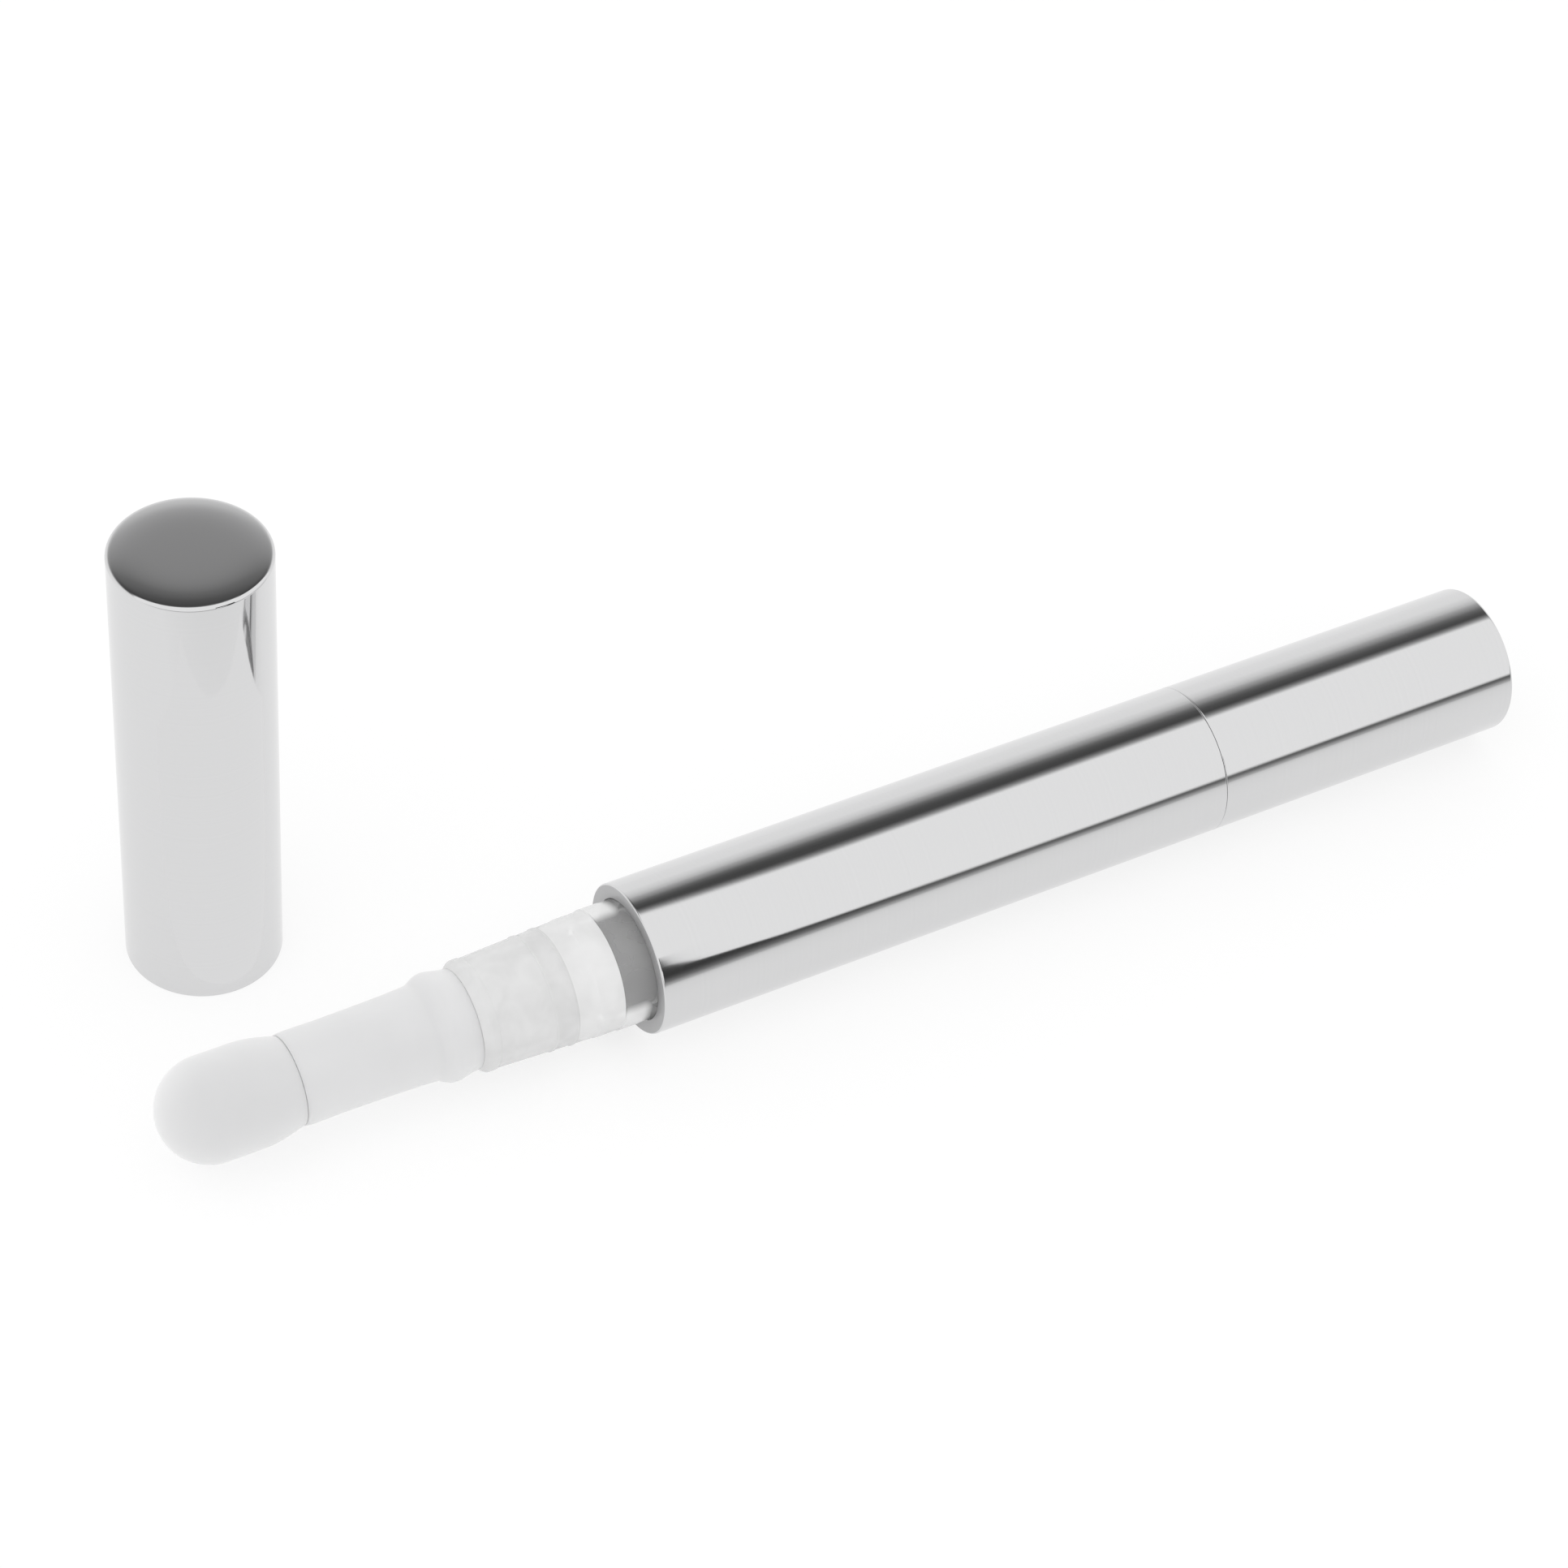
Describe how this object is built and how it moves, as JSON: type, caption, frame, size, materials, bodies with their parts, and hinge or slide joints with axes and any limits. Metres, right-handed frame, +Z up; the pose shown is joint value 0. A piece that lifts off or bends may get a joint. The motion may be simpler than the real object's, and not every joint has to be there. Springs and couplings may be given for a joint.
{
  "type": "twist pen tube",
  "caption": "Slim metal-cased twist pen with a soft dome tip on a frosted stem, a turning rear knob that drives a screw and piston, and a separate cap standing beside it.",
  "frame": {"origin": "centre of the footprint of the lying pen and the standing cap, on the surface they rest on", "axes": "+X along the pen's axis, from the tip towards the knob; +Y from the pen towards the standing cap; +Z up"},
  "size_m": [0.1358, 0.0382, 0.047],
  "materials": {
    "polished_metal": "mirror-polished, bright silver",
    "satin_metal": "satin, dark grey",
    "white_moulding": "natural white moulding",
    "grey_moulding": "pale grey moulding",
    "frosted_plastic": "frosted and translucent",
    "clear_plastic": "clear moulding with a milky haze",
    "soft_tip": "soft and matte, pale",
    "seal_rubber": "smooth rubber"
  },
  "bodies": {
    "barrel": {"applicator_tip": "soft_tip", "applicator_stem": "frosted_plastic", "neck_housing": "clear_plastic", "neck_collar": "satin_metal", "neck_seal": "seal_rubber", "barrel_shell": "polished_metal", "reservoir_tube": "frosted_plastic", "guide_nut": "grey_moulding", "ratchet_ring": "grey_moulding", "rear_bush": "grey_moulding"},
    "knob": {"pawl_ring": "white_moulding", "drive_sleeve": "white_moulding", "drag_ring": "seal_rubber", "knob_core": "white_moulding", "knob_shell": "polished_metal"},
    "rod": {"screw_rod": "white_moulding"},
    "piston": {"piston": "white_moulding", "piston_seal": "seal_rubber"},
    "cap": {"cap_shell": "polished_metal", "cap_liner": "white_moulding"}
  },
  "joints": [
    {"name": "knob_turn", "type": "hinge", "parent": "barrel", "child": "knob", "pos_m": [0.03558, -0.01209, 0.007], "axis": [-1, 0, 0], "range_deg": [0, 3960]},
    {"name": "rod_feed", "type": "slide", "parent": "knob", "child": "rod", "axis": [-1, 0, 0], "range_m": [0, 0.0276]},
    {"name": "piston_feed", "type": "slide", "parent": "barrel", "child": "piston", "axis": [-1, 0, 0], "range_m": [0, 0.0276]},
    {"name": "cap_lift", "type": "slide", "parent": "barrel", "child": "cap", "axis": [0, 0, 1], "range_m": [0, 0.06]}
  ],
  "couplings": [
    {"joint": "rod_feed", "follows": "knob_turn", "m_per_rad": 0.00039789},
    {"joint": "piston_feed", "follows": "knob_turn", "m_per_rad": 0.00039789}
  ]
}
